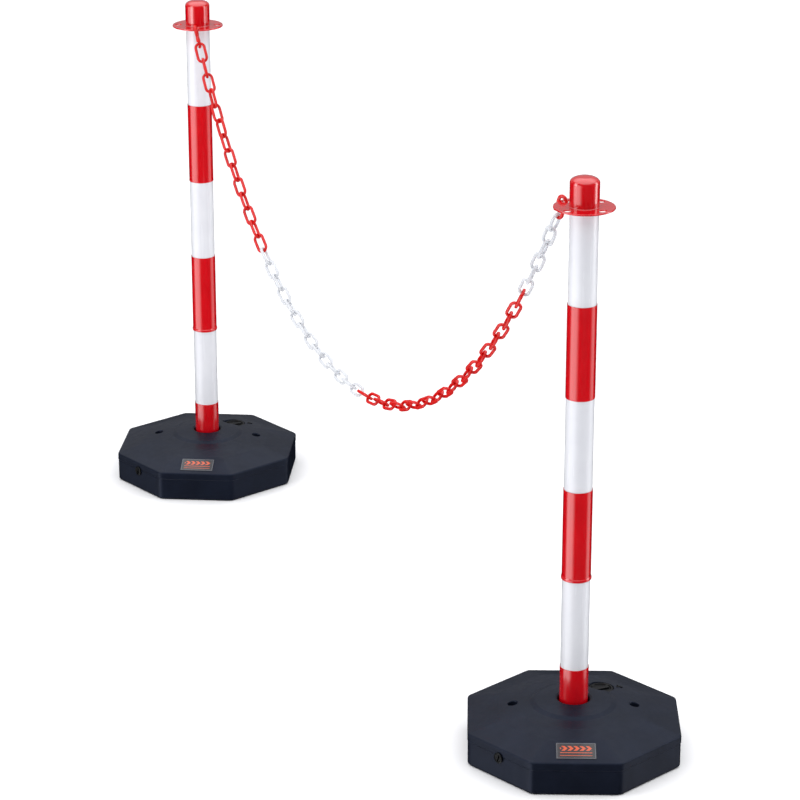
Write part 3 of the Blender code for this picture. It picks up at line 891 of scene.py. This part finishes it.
    def open_mark(self, name: str) -> Piece:
        """A raised three-armed mark beside the fill cup, lying on the tank's slope."""
        middle = np.array(self.mark_at)
        out = unit(middle * (1.0, 1.0, 0.0))
        downhill = unit(out - UP * self.mark_slope)
        along = unit(np.cross(UP, out))
        t = np.linspace(0.0, 1.0, 13)
        radius = self.mark_bar * np.sqrt(np.clip(1.0 - (2.0 * t - 1.0) ** 6, 0.0, 1.0))
        arms = []
        for angle in np.radians(self.mark_arms):
            way = along * np.cos(angle) + downhill * np.sin(angle)
            path = middle + way * (t * 0.0062 - 0.0008)[:, None]
            across = np.broadcast_to(np.cross(way, UP), path.shape)
            arm = swept_bar(path, across, np.cross(across[0], way), radius, 2.0, 14, False)
            arms.append(solid(name + "_arm", arm))
        mark = combined(arms[0], arms[1:], "UNION")
        mark.name = name
        return mark

    def label(self, name: str) -> Piece:
        """The label film on the front panel, with a UV map in metres from its middle."""
        width, depth, thick = self.label_size
        flat_out = 0.1040 * (0.6 + 0.4 * np.cos(np.pi / 24.0))
        slope = unit(np.array([0.0, 0.1435 - flat_out, 0.0132]))
        start = np.array([0.0, -0.1435, 0.0480])
        across = np.array([1.0, 0.0, 0.0])
        middle = start + slope * (0.0065 + depth / 2) + np.cross(across, slope) * (thick / 2 + self.gap)
        plate = solid(name, self.slab(width, depth, thick, 0.0012, 0.00025))
        mesh = plate.data
        place = np.empty(len(mesh.vertices) * 3)
        mesh.vertices.foreach_get("co", place)
        corner = np.empty(len(mesh.loops), dtype=np.int64)
        mesh.loops.foreach_get("vertex_index", corner)
        mesh.uv_layers.new(name="film").uv.foreach_set("vector", place.reshape(-1, 3)[corner, :2].ravel())
        mesh.transform(matrix_of(facing(middle, across, slope)))
        return plate

    def build(self, side: Side, at: Array, finishes: Finishes) -> None:
        """Builds and dresses one tank and everything on it.

        Args:
            side: which post it holds.
            at: the tank's place and turn.
            finishes: the materials.
        """
        s = side.value
        base = "base_" + s
        made = (
            (self.shell("moulded_tank_" + s), Slot.TANK, base, ("base_shell_" + s,)),
            (self.screw_cap("screw_cap_" + s), Slot.PLUG, "fill_cap_" + s, ("fill_cap_" + s,)),
            (self.seal("rubber_seal_" + s), Slot.SEAL, "fill_cap_" + s, ("fill_cap_seal_" + s,)),
            (self.drain_bung("drain_bung_" + s), Slot.PLUG, "drain_plug_" + s, ("drain_plug_" + s,)),
            (self.label("label_film_" + s), Slot.LABEL, base, ("label_plate_" + s,)),
            # The raised mark takes the darker cap black instead of the tank's own colour: painted shade, so
            # that it reads darker than the tank round it.
            (self.open_mark("open_mark_" + s), Slot.PLUG, base, ()),
        )
        for piece, slot, body, nodes in made:
            piece.data.transform(matrix_of(at))
            finishes.dress(piece, slot, body, *nodes)


def matrix_of(matrix: Array) -> Matrix:
    """Turns a 4 by 4 array into Blender's own matrix."""
    return Matrix([tuple(row) for row in matrix.tolist()])


# ---------------------------------------------------------------- post


@dataclass
class BandedPost:
    """The two-part pipe with its red bands, the inner joint and the flanged cap."""

    tube: float = 0.0192
    tube_wall: float = 0.0020
    band: float = 0.0200
    lip: float = 0.0209
    gap: float = 0.0003
    socket_floor: float = 0.0080
    low_band_top: float = 0.1245
    band_height: float = 0.1306
    joint_wall: float = 0.0017
    joint_half: float = 0.040
    flange: float = 0.0410
    flange_thick: float = 0.0022
    hole_ring: float = 0.0317
    hole: float = 0.0052
    shoulder: float = 0.0362
    cap_height: float = 0.0428
    cap_wall: float = 0.0028
    spigot_length: float = 0.030

    @property
    def joint_height(self) -> float:
        """Where the two pipes meet."""
        return self.low_band_top + self.band_height

    @property
    def flange_height(self) -> float:
        """The flange's lower face."""
        return self.low_band_top + 5 * self.band_height + self.gap

    def pipe(self, name: str, outer: float, inner: float, low: float, high: float, edge: float) -> Piece:
        """A pipe with rounded ends."""
        corners = ((inner, low, edge), (outer, low, edge), (outer, high, edge), (inner, high, edge))
        return solid(name, revolved(rounded_profile(corners, 4, True), 128, True))

    def lipped_band(self, name: str) -> Piece:
        """The band whose lower end is a rolled lip over the joint."""
        inner = self.tube + self.gap
        low = self.joint_height + self.gap / 2
        high = self.joint_height + self.band_height
        corners = (
            (inner, low, 0.0002), (self.lip - 0.0001, low, 0.0010), (self.lip, low + 0.0032, 0.0012),
            (self.band, low + 0.0046, 0.0012), (self.band, high, 0.00025), (inner, high, 0.0001),
        )  # fmt: skip
        return solid(name, revolved(rounded_profile(corners, 5, True), 128, True))

    def cap(self, name: str, turn: float) -> Piece:
        """The cap: a hollow spigot, a thin flange with four holes and a domed cylinder."""
        spigot = self.tube - self.tube_wall - self.gap
        bore = spigot - 0.0020
        z = self.flange_height
        foot, top = z - self.spigot_length, z + self.flange_thick
        side, wall, dome = self.band - 0.0002, self.band - self.cap_wall, self.band * 0.60
        shoulder, crown = z + self.shoulder, z + self.cap_height
        corners = (
            (bore, foot, 0.0003), (spigot, foot, 0.0008), (spigot, z, 0.0002), (self.flange, z, 0.0006),
            (self.flange, top, 0.0010), (side, top, 0.0010), (side, shoulder + 0.0012, 0.0060),
            (dome, crown - 0.0012, 0.0160), (0.0, crown, 0.0),
        )  # fmt: skip
        inner = (
            (0.0, crown - self.cap_wall, 0.0), (dome, shoulder + 0.0026, 0.0080),
            (wall, shoulder - 0.0030, 0.0030), (wall, top + 0.0030, 0.0020), (bore, top, 0.0010),
            (bore, foot, 0.0003),
        )  # fmt: skip
        profile = np.concatenate([rounded_profile(corners, 7), rounded_profile(inner, 4)])
        cap = solid(name, revolved(profile, 144, False))
        r = self.hole
        shape = (
            (0.0, z - 0.01), (r + 0.0012, z - 0.01), (r + 0.0006, z - 0.00005), (r + 0.0002, z + 0.0003),
            (r, z + 0.0008), (r, top - 0.0009), (r + 0.0002, top - 0.0004), (r + 0.0007, top + 0.00005),
            (r + 0.0014, top + 0.01), (0.0, top + 0.01),
        )  # fmt: skip
        holes = []
        for angle in np.arange(4) * (np.pi / 2):
            at = placed((self.hole_ring * np.cos(angle), self.hole_ring * np.sin(angle), 0.0))
            holes.append(solid("hole_cutter", revolved(np.asarray(shape), 48).moved(at)))
        combined(cap, holes, "DIFFERENCE")
        cap.data.transform(matrix_of(placed((0.0, 0.0, 0.0), turn)))
        return cap

    def build(self, side: Side, at: Array, hole_turn: float, finishes: Finishes) -> None:
        """Builds and dresses one post.

        Args:
            side: which post it is.
            at: the post's place.
            hole_turn: the turn of the cap's holes in radians.
            finishes: the materials.
        """
        s = side.value
        inner = self.tube - self.tube_wall
        joint, step, half_gap = self.joint_height, self.band_height, self.gap / 2
        floor = self.socket_floor + self.gap
        top = self.flange_height - self.gap
        cuff = self.tube + self.gap
        fit = inner - self.gap
        bore, reach = fit - self.joint_wall, self.joint_half
        sawn, trimmed, moulded = 0.0002, 0.00025, 0.0005
        lower, upper = "lower_post_" + s, "upper_post_" + s
        tube, band = self.tube, self.band
        foot_pipe = self.pipe("foot_pipe_" + s, tube, inner, floor, joint - half_gap, sawn)
        foot_band = self.pipe("foot_band_" + s, band, cuff, floor, self.low_band_top, trimmed)
        inner_joint = self.pipe("inner_joint_" + s, fit, bore, joint - reach, joint + reach, moulded)
        mast_pipe = self.pipe("mast_pipe_" + s, tube, inner, joint + half_gap, top, sawn)
        lipped_band = self.lipped_band("lipped_band_" + s)
        upper_band = self.pipe("upper_band_" + s, band, cuff, joint + 2 * step, joint + 3 * step, trimmed)
        flanged_cap = self.cap("flanged_cap_" + s, hole_turn)
        made = (
            (foot_pipe, Slot.WHITE, lower, "lower_tube_"),
            (foot_band, Slot.RED, lower, "socket_sleeve_"),
            (inner_joint, Slot.PLUG, lower, "tube_coupler_"),
            (mast_pipe, Slot.WHITE, upper, "upper_tube_"),
            (lipped_band, Slot.RED, upper, "middle_sleeve_"),
            (upper_band, Slot.RED, upper, "top_sleeve_"),
            (flanged_cap, Slot.RED, "cap_" + s, "top_cap_"),
        )
        for piece, slot, body, node in made:
            piece.data.transform(matrix_of(at))
            finishes.dress(piece, slot, body, node + s)


# ---------------------------------------------------------------- chain


@dataclass
class RingHook:
    """A figure-of-eight hook: a closed ring round the flange's rim and an open ring round the end link.

    The open ring's span and the length of its points are parameters of the oval path.
    """

    wire: float = 0.0024
    half_width: float = 0.0064
    straight: float = 0.0022
    lean: float = 62.0
    headroom: float = 0.0036
    hold_gap: float = 0.0012
    squareness: float = 2.2
    open_span: tuple[float, float] = (1.02, 4.74)
    point: float = 0.22
    rim_out: float = 0.0317 + 0.0064
    rim_height: float = 0.7778 + 0.0015

    @property
    def reach(self) -> float:
        """From a ring's middle to the middle of its wire, along the hook."""
        return self.half_width + self.straight

    @property
    def middles(self) -> tuple[float, float]:
        """The middles of the two rings along the hook, from the rim's middle."""
        upper = self.reach - self.wire - self.headroom
        return upper, upper + 2 * self.reach

    def rim(self, place: Array, turn: float) -> Array:
        """The middle of the flange's rim beside the hook's hole."""
        return place + np.array([self.rim_out * np.cos(turn), self.rim_out * np.sin(turn), self.rim_height])

    def pose(self, side: Side, place: Array, turn: float) -> Array:
        """The hook's frame: X points down along it towards the chain and Y lies across its rings.

        Args:
            side: the post that it hangs on.
            place: the post's middle on the floor.
            turn: the bearing of the cap's hole in radians.

        Returns:
            A 4 by 4 matrix.
        """
        sign = 1.0 if side is Side.A else -1.0
        lean = np.radians(self.lean)
        down = np.array([sign * np.cos(lean), 0.0, -np.sin(lean)])
        radial = np.array([np.cos(turn), np.sin(turn), 0.0])
        across = unit(radial - down * radial.dot(down))
        return facing(self.rim(place, turn), down, across)

    def hold(self, pose: Array) -> Array:
        """Where the end link bears on the lower ring."""
        bearing = self.middles[1] + self.reach - self.wire - self.hold_gap / 2
        return pose[:3, 3] + pose[:3, 0] * bearing

    def build(self, side: Side, pose: Array, finishes: Finishes) -> None:
        """Builds and dresses one hook.

        Args:
            side: the post that it hangs on.
            pose: the hook's frame.
            finishes: the materials.
        """
        s = side.value
        t = np.linspace(0.0, 4.0, 72, endpoint=False)
        path, outward = oval_path(self.straight, self.half_width, t)
        ring = swept_bar(path, outward, UP, np.full(len(t), self.wire), self.squareness, 20, True)
        upper, lower = self.middles
        hook = solid("ring_hook_" + s, ring.moved(placed((upper, 0.0, 0.0))))
        # The open ring starts and ends in slanted points beside its bearing end.
        t = np.linspace(*self.open_span, 84)
        path, outward = oval_path(self.straight, self.half_width, t)
        from_tip = np.minimum(t - t[0], t[-1] - t)
        radius = self.wire * np.sqrt(np.clip(from_tip / self.point, 0.0, 1.0))
        open_ring = swept_bar(path, outward, UP, radius, self.squareness, 20, False)
        combined(hook, [solid("open_ring", open_ring.moved(placed((lower, 0.0, 0.0))))], "UNION")
        hook.data.transform(matrix_of(pose))
        finishes.dress(hook, Slot.RED_CHAIN, "hook_" + s, "s_hook_" + s, crease=50.0)


def body_with(node: str) -> str:
    """Finds the CAD body that holds a node.

    Args:
        node: the CAD node's name.

    Returns:
        The body's name.
    """
    bodies = frame["record"]["behaviour"]["bodies"]
    return next(name for name, nodes in bodies.items() if node in nodes)


@dataclass
class MouldedChain:
    """The hanging chain of equal oval links, in four stretches of colour."""

    links: int = 56
    pitch: float = 0.02607
    width: float = 0.0186
    wire: float = 0.0022
    overlap: float = 0.00030
    play: float = 0.00035
    squareness: float = 2.45
    end_share: float = 0.975
    stouter: float = 0.05
    roll: float = 38.0
    twisted: int = 7
    red: tuple[tuple[int, int], ...] = ((0, 14), (28, 50))

    def pivots(self, start: Array, end: Array) -> Array:
        """Points between the links on the hanging curve from start to end.

        At a distance s along the chain from its lowest point, x is a asinh(s / a) and the height above the
        lowest point is a cosh(x / a) - a. The scale a is found by halving, so that the span fits the length.

        Args:
            start: the first end.
            end: the second end, as high as the first.

        Returns:
            One point more than there are links.
        """
        length = self.links * self.pitch
        span = end[0] - start[0]
        low, high = 0.01, 10.0
        for _ in range(80):
            ratio = (low + high) / 2
            if np.sinh(ratio) / ratio < length / span:
                low = ratio
            else:
                high = ratio
        scale = span / (2 * ratio)
        along = length * (np.arange(self.links + 1) / self.links - 0.5)
        x = scale * np.arcsinh(along / scale)
        drop = scale * (np.cosh(span / 2 / scale) - np.cosh(x / scale))
        middle = (start[0] + end[0]) / 2
        return np.stack([middle + x, np.full_like(x, start[1]), start[2] - drop], axis=-1)

    def roll_of(self, across: Array, along: Array) -> float:
        """The turn about the link's length that brings Y to a sideways direction, within half a turn."""
        turn = np.arctan2(across.dot(np.cross(SIDEWAYS, along)), across.dot(SIDEWAYS))
        return (turn + np.pi / 2) % np.pi - np.pi / 2

    def frames(self, start_pose: Array, end_pose: Array, start: Array, end: Array) -> Array:
        """Each link's frame: X along the link and Y across it.

        The links alternate by a quarter turn about their length, and the first and last few twist evenly
        towards the rings that they hang on.

        Args:
            start_pose: the first hook's frame.
            end_pose: the second hook's frame.
            start: where the first link hangs.
            end: where the last link hangs.

        Returns:
            One 4 by 4 matrix for each link.
        """
        pivots = self.pivots(start, end)
        along = unit(np.diff(pivots, axis=0))
        k = np.arange(self.links)
        usual = np.radians(self.roll)
        first = self.roll_of(start_pose[:3, 2], along[0])
        last = self.roll_of(end_pose[:3, 2], along[-1]) + np.pi / 2
        near_start = 1.0 - np.minimum(k / self.twisted, 1.0)
        near_end = 1.0 - np.minimum((self.links - 1 - k) / self.twisted, 1.0)
        roll = usual + (first - usual) * near_start + (last - usual) * near_end + (k % 2) * np.pi / 2
        side = np.broadcast_to(SIDEWAYS, along.shape)
        across = side * np.cos(roll)[:, None] + np.cross(side, along) * np.sin(roll)[:, None]
        shift = np.where(k % 2 == 1, 1.0, -1.0) * (self.overlap + self.play) / 4
        frames = np.tile(np.eye(4), (self.links, 1, 1))
        frames[:, :3, 0], frames[:, :3, 1], frames[:, :3, 2] = along, across, np.cross(along, across)
        frames[:, :3, 3] = (pivots[:-1] + pivots[1:]) / 2 + along * shift[:, None]
        return frames

    def link(self) -> Surface:
        """One link about the origin: an oval bar, a little stouter along its sides than round its ends."""
        bend = self.width / 2 - self.wire
        inner = self.pitch + (self.play - self.overlap) / 2
        t = np.linspace(0.0, 4.0, 56, endpoint=False)
        path, outward = oval_path(inner / 2 + self.wire - bend, bend, t)
        radius = self.wire * (self.end_share + self.stouter * outward[:, 1] ** 2)
        return swept_bar(path, outward, UP, radius, self.squareness, 16, True)

    def build(self, frames: Array, finishes: Finishes) -> None:
        """Builds and dresses every link.

        Args:
            frames: each link's frame.
            finishes: the materials.
        """
        link = self.link()
        for k, pose in enumerate(frames):
            is_red = any(first <= k < end for first, end in self.red)
            node = f"chain_links_{k // 2:02d}"
            piece = solid(f"chain_link_{k:02d}", link.moved(pose))
            slot = Slot.RED_CHAIN if is_red else Slot.WHITE_CHAIN
            finishes.dress(piece, slot, body_with(node), node, crease=60.0)


# ---------------------------------------------------------------- studio


@dataclass(frozen=True)
class Stripe:
    """A tall bright stripe of the surround, by bearing in degrees, with its power where it is full.

    Bearings run from the camera's side of the stanchion, positive towards the camera's left.
    """

    start: float
    full: float
    fade: float
    end: float
    power: float

    def light(self, nodes: Nodes, bearing: Socket) -> Socket:
        """Adds the stripe's light, which rises and falls smoothly at its edges.

        Args:
            nodes: the surround's nodes.
            bearing: the bearing that is looked at, in radians.

        Returns:
            The output that holds it.
        """
        start, full, fade, end = (float(np.radians(a)) for a in (self.start, self.full, self.fade, self.end))
        rise = {"From Min": start, "From Max": full, "To Min": 0.0, "To Max": self.power}
        fall = {"From Min": end, "From Max": fade, "To Min": 0.0, "To Max": 1.0}
        edges = (
            nodes.add("MapRange", {"Value": bearing, **ends}, interpolation_type="SMOOTHSTEP").outputs[0]
            for ends in (rise, fall)
        )
        return nodes.add("Math", dict(enumerate(edges)), operation="MULTIPLY").outputs[0]


@dataclass(frozen=True)
class Softbox:
    """A tall soft light that faces the middle of the stanchion.

    Its bearing is in degrees as a stripe's is, far is its distance, low the height of its middle, size its
    width and height, and power is in watts.
    """

    name: str
    bearing: float
    far: float
    low: float
    size: tuple[float, float]
    power: float
    aim_height: float = 0.45

    def build(self, heading: float) -> None:
        """Puts the light in the scene.

        Args:
            heading: the camera's heading in degrees.
        """
        turn = np.radians(heading + 180.0 - self.bearing)
        data = bpy.data.lights.new(self.name, "AREA")
        data.shape = "RECTANGLE"
        data.size, data.size_y = self.size
        data.energy = self.power
        light = bpy.data.objects.new(self.name, data)
        place = Vector((self.far * float(np.cos(turn)), self.far * float(np.sin(turn)), self.low))
        light.location = place
        aim_at(light, Vector((0.0, 0.0, self.aim_height)) - place)


def aim_at(thing: Piece, way: Vector) -> None:
    """Points a light or camera along a direction, upright, and links it to the scene.

    Args:
        thing: the light or camera.
        way: the direction that it looks in.
    """
    thing.rotation_mode = "QUATERNION"
    thing.rotation_quaternion = way.to_track_quat("-Z", "Y")
    bpy.context.scene.collection.objects.link(thing)


@dataclass
class Studio:
    """A pale floor, a soft surround, soft lights and the camera. The spans are where each glow sets in."""

    eye: tuple[float, float, float] = (3.7063, -1.9821, 1.8532)
    heading: float = 151.24
    dip: float = 20.05
    lens: float = 132.5
    sensor: float = 36.0
    sight: float = 1000.0
    floor_size: float = 300.0
    floor_colour: str = "#F8F8F9"
    floor_roughness: float = 0.9
    surround: tuple[float, float, float, float] = (0.98, 0.985, 1.0, 1.0)
    front_light: float = 0.13
    back_light: float = 0.35
    back_span: tuple[float, float] = (0.0, 0.95)
    top_light: float = 1.75
    top_span: tuple[float, float] = (0.40, 0.85)
    horizon: float = 0.04
    stripes: tuple[Stripe, Stripe] = (
        Stripe(18.0, 50.0, 82.0, 104.0, 2.1),
        Stripe(-118.0, -104.0, -90.0, -66.0, 1.0),
    )
    softboxes: tuple[Softbox, Softbox] = (
        Softbox("left_softbox", 64.0, 2.6, 1.15, (1.2, 2.3), 27.0),
        Softbox("right_softbox", -84.0, 2.6, 1.1, (0.9, 2.3), 19.0),
    )

    def floor(self) -> None:
        """The floor, which is not part of the object. Reflections pass through it to the surround."""
        half = self.floor_size / 2
        corners = [(-half, -half, 0.0), (half, -half, 0.0), (half, half, 0.0), (-half, half, 0.0)]
        mesh = bpy.data.meshes.new("floor")
        mesh.from_pydata(corners, [], [(0, 1, 2, 3)])
        ground = bpy.data.objects.new("floor", mesh)
        bpy.context.scene.collection.objects.link(ground)
        material, nodes, shader = blank_material("studio_paper")
        look = {"Base Color": self.floor_colour, "Roughness": self.floor_roughness}
        nodes.feed(shader, {**look, "Specular IOR Level": 0.0})
        reflected = nodes.add("LightPath").outputs["Is Glossy Ray"]
        clear = nodes.add("BsdfTransparent").outputs[0]
        seen = nodes.add("MixShader", {0: reflected, 1: shader.outputs[0], 2: clear})
        nodes.feed(nodes.tree.nodes["Material Output"], {"Surface": seen.outputs[0]})
        mesh.materials.append(material)

    def sky(self) -> None:
        """A soft surround: bright overhead, paler behind the stanchion and nearly dark on the camera's side.

        Below the horizon, where only reflections reach, two tall bright stripes stand to the left and right.
        What the camera itself sees of it is plain white.
        """
        world = bpy.data.worlds.new("studio_surround")
        bpy.context.scene.world = world
        world.use_nodes = True
        nodes = Nodes(world.node_tree)
        direction = nodes.add("TexCoord").outputs["Generated"]
        height = nodes.add("SeparateXYZ", {0: direction}).outputs["Z"]
        way = np.radians(self.heading)
        ahead = (float(np.cos(way)), float(np.sin(way)), 0.0)
        leftward = (float(np.sin(-way)), float(np.cos(way)), 0.0)
        towards, aside = (
            nodes.add("VectorMath", {0: direction, 1: axis}, operation="DOT_PRODUCT").outputs["Value"]
            for axis in (ahead, leftward)
        )
        spans = (
            (towards, *self.back_span, self.front_light, self.back_light),
            (height, *self.top_span, 0.0, self.top_light),
            (height, self.horizon, -self.horizon, 0.0, 1.0),
        )
        behind, above, below = (
            nodes.add(
                "MapRange",
                {"Value": value, "From Min": start, "From Max": end, "To Min": low, "To Max": high},
                interpolation_type="SMOOTHSTEP",
            ).outputs[0]
            for value, start, end, low, high in spans
        )
        nearer = nodes.add("Math", {0: towards, 1: -1.0}, operation="MULTIPLY").outputs[0]
        bearing = nodes.add("Math", {0: aside, 1: nearer}, operation="ARCTAN2").outputs[0]
        lights = dict(enumerate(stripe.light(nodes, bearing) for stripe in self.stripes))
        stripes = nodes.add("Math", lights, operation="ADD").outputs[0]
        upper = nodes.add("Math", {0: behind, 1: above}, operation="ADD").outputs[0]
        level = nodes.add("Mix", {0: below, 2: upper, 3: stripes}, data_type="FLOAT").outputs[0]
        seen = nodes.add("LightPath").outputs["Is Camera Ray"]
        level = nodes.add("Mix", {0: seen, 2: level, 3: 1.0}, data_type="FLOAT").outputs[0]
        nodes.feed(nodes.tree.nodes["Background"], {"Color": self.surround, "Strength": level})

    def camera(self) -> None:
        """The camera, upright, with a long lens."""
        data = bpy.data.cameras.new("camera")
        data.lens, data.sensor_width, data.clip_end = self.lens, self.sensor, self.sight
        eye = bpy.data.objects.new("camera", data)
        eye.location = self.eye
        way, dip = np.radians(self.heading), np.radians(self.dip)
        aim = (float(np.cos(dip) * np.cos(way)), float(np.cos(dip) * np.sin(way)), -float(np.sin(dip)))
        aim_at(eye, Vector(aim))
        bpy.context.scene.camera = eye

    def build(self) -> None:
        """Sets up the whole studio."""
        bpy.context.scene.view_settings.view_transform = "Standard"
        self.camera()
        self.floor()
        self.sky()
        for softbox in self.softboxes:
            softbox.build(self.heading)


# ---------------------------------------------------------------- assembly


@dataclass
class Stanchion:
    """Both posts on their tanks, the two hooks and the chain."""

    spacing: float = 1.200
    tank_turn: dict[Side, float] = field(default_factory=lambda: {Side.A: 56.7, Side.B: 59.9})
    hole_turn: dict[Side, float] = field(default_factory=lambda: {Side.A: -29.4, Side.B: 195.6})
    tank: BallastTank = field(default_factory=BallastTank)
    post: BandedPost = field(default_factory=BandedPost)
    hook: RingHook = field(default_factory=RingHook)
    chain: MouldedChain = field(default_factory=MouldedChain)

    def places(self) -> dict[Side, Array]:
        """The middles of the two posts on the floor; both hooks hang in one plane along X."""
        out = {side: self.hook.rim_out * np.sin(np.radians(turn)) for side, turn in self.hole_turn.items()}
        offset = (out[Side.B] - out[Side.A]) / 2
        return {
            Side.A: np.array([-self.spacing / 2, offset, 0.0]),
            Side.B: np.array([self.spacing / 2, -offset, 0.0]),
        }

    def build(self, finishes: Finishes) -> None:
        """Builds every piece in order.

        Args:
            finishes: the materials.
        """
        places = self.places()
        poses = {}
        for side, place in places.items():
            turn = np.radians(self.hole_turn[side])
            self.tank.build(side, placed(place, np.radians(self.tank_turn[side])), finishes)
            self.post.build(side, placed(place), turn, finishes)
            poses[side] = self.hook.pose(side, place, turn)
            self.hook.build(side, poses[side], finishes)
        holds = {side: self.hook.hold(pose) for side, pose in poses.items()}
        frames = self.chain.frames(poses[Side.A], poses[Side.B], holds[Side.A], holds[Side.B])
        self.chain.build(frames, finishes)


def main() -> None:
    """Builds the studio and the stanchion in order."""
    logging.basicConfig(level=logging.INFO, format="%(message)s")
    Studio().build()
    stanchion = Stanchion()
    width, depth, _ = stanchion.tank.label_size
    finishes = Finishes()
    finishes.prepare((width / 2, depth / 2))
    stanchion.build(finishes)


if __name__ == "__main__":
    main()
